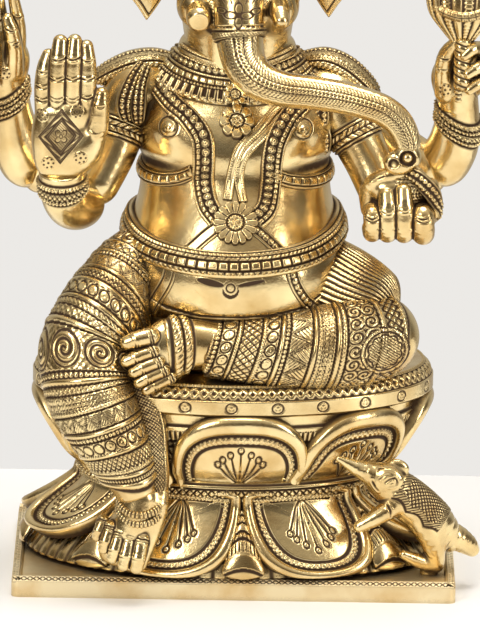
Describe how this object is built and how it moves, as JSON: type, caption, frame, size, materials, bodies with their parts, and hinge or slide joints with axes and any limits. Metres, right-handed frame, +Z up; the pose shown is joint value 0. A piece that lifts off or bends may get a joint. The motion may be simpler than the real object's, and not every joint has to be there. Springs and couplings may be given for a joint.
{
  "type": "elephant-headed seated figure",
  "caption": "Seated four-armed elephant-headed figure in polished, darkened brass on a double-lotus pedestal and a flat plate, with a mouse at its side.",
  "frame": {"origin": "centre of the base plate's underside", "axes": "+Z up; -Y towards the figure's front; +X towards the figure's own left"},
  "size_m": [0.2982, 0.1751, 0.425],
  "materials": {
    "brass": "polished, with dark antiquing in the recesses",
    "steel": "plain"
  },
  "bodies": {
    "root": {"base_plate": "brass", "pedestal_screws": "steel", "lower_lotus": "brass", "lotus_collar": "brass", "upper_lotus": "brass", "seat_slab": "brass", "figure_bolt": "steel", "figure_washer": "steel", "torso": "brass", "right_thigh": "brass", "left_thigh": "brass", "right_shin": "brass", "left_shin": "brass", "right_foot": "brass", "left_foot": "brass", "front_right_arm": "brass", "front_right_forearm": "brass", "blessing_hand": "brass", "front_left_arm": "brass", "front_left_forearm": "brass", "offering_hand": "brass", "rear_right_arm": "brass", "rear_right_forearm": "brass", "rear_right_hand": "brass", "rear_left_arm": "brass", "rear_left_forearm": "brass", "rear_left_hand": "brass", "sweet": "brass", "axe": "brass", "noose": "brass", "head": "brass", "trunk": "brass", "right_tusk": "brass", "left_tusk": "brass", "right_ear": "brass", "left_ear": "brass", "crown": "brass", "crown_finial": "brass", "mouse": "brass", "mouse_tail": "brass"}
  },
  "joints": []
}
